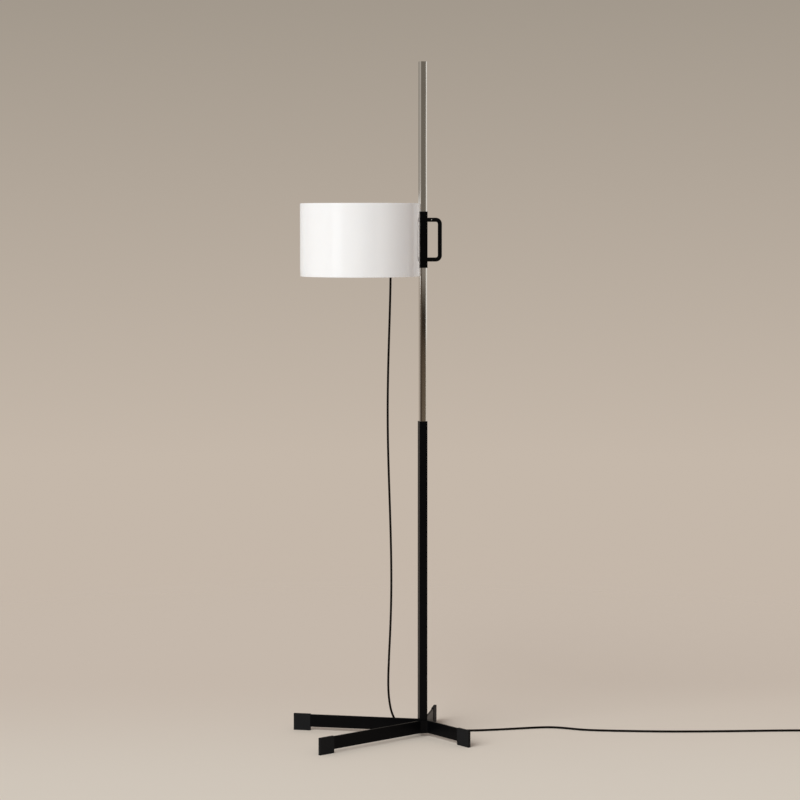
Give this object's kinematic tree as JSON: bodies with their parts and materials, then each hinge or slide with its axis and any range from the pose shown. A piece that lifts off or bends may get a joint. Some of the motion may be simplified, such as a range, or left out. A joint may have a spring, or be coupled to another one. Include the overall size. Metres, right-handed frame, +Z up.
{
  "type": "adjustable floor lamp",
  "caption": "Floor lamp with an open white drum shade on a carriage that slides along a chromed mast, with a side handle, on a base of bent black flat bars.",
  "frame": {"origin": "on the floor, at the centre of the box round the lamp without its cord", "axes": "+Z up along the mast, the shade towards -X, the handle towards +X, the cord landing on the +Y side"},
  "size_m": [1.4076, 0.4312, 1.684],
  "materials": {
    "black_paint": "semi-gloss black enamel",
    "shoe_black": "matte moulded",
    "mast_chrome": "polished chrome plate",
    "seat_aluminium": "machined",
    "screw_steel": "bright zinc plate",
    "white_paint": "white enamel",
    "brake_polymer": "polyurethane",
    "opal_white": "glossy opal white",
    "holder_white": "moulded white",
    "holder_ceramic": "unglazed",
    "contact_brass": "plain",
    "bulb_aluminium": "rolled",
    "bulb_glass": "opal",
    "cord_dark": "smooth dark sheath",
    "plug_black": "moulded",
    "pin_nickel": "nickel plate"
  },
  "bodies": {
    "stand": {"base_bar_front": "black_paint", "base_bar_rear": "black_paint", "foot_long_front": "shoe_black", "foot_short_front": "shoe_black", "foot_long_rear": "shoe_black", "foot_short_rear": "shoe_black", "post_tube": "black_paint", "post_bottom_plug": "shoe_black", "mast_tube": "mast_chrome", "mast_seat": "seat_aluminium", "mast_top_cap": "mast_chrome", "mast_set_screws": "screw_steel", "cord_drop": "cord_dark", "cord_floor": "cord_dark", "cord_coil": "cord_dark", "cord_tail": "cord_dark", "plug_relief": "plug_black", "plug_body": "plug_black", "plug_pins": "pin_nickel"},
    "carriage": {"carriage_sleeve": "black_paint", "handle": "black_paint", "brake_plug": "brake_polymer", "brake_pin": "screw_steel", "shade": "opal_white", "shade_bracket": "white_paint", "shade_studs": "screw_steel", "shade_spacers": "screw_steel", "shade_nuts": "screw_steel", "holder_arm": "white_paint", "lampholder_cap": "holder_white", "lampholder_body": "holder_white", "lampholder_insert": "holder_ceramic", "lampholder_shell": "contact_brass", "lampholder_contact": "contact_brass", "bulb_contact": "contact_brass", "bulb_cap": "bulb_aluminium", "bulb_globe": "bulb_glass", "cord_gland": "cord_dark"}
  },
  "joints": [
    {"name": "carriage_slide", "type": "slide", "parent": "stand", "child": "carriage", "axis": [0, 0, 1], "range_m": [-0.38, 0.37], "deforming": ["cord_drop"]}
  ]
}
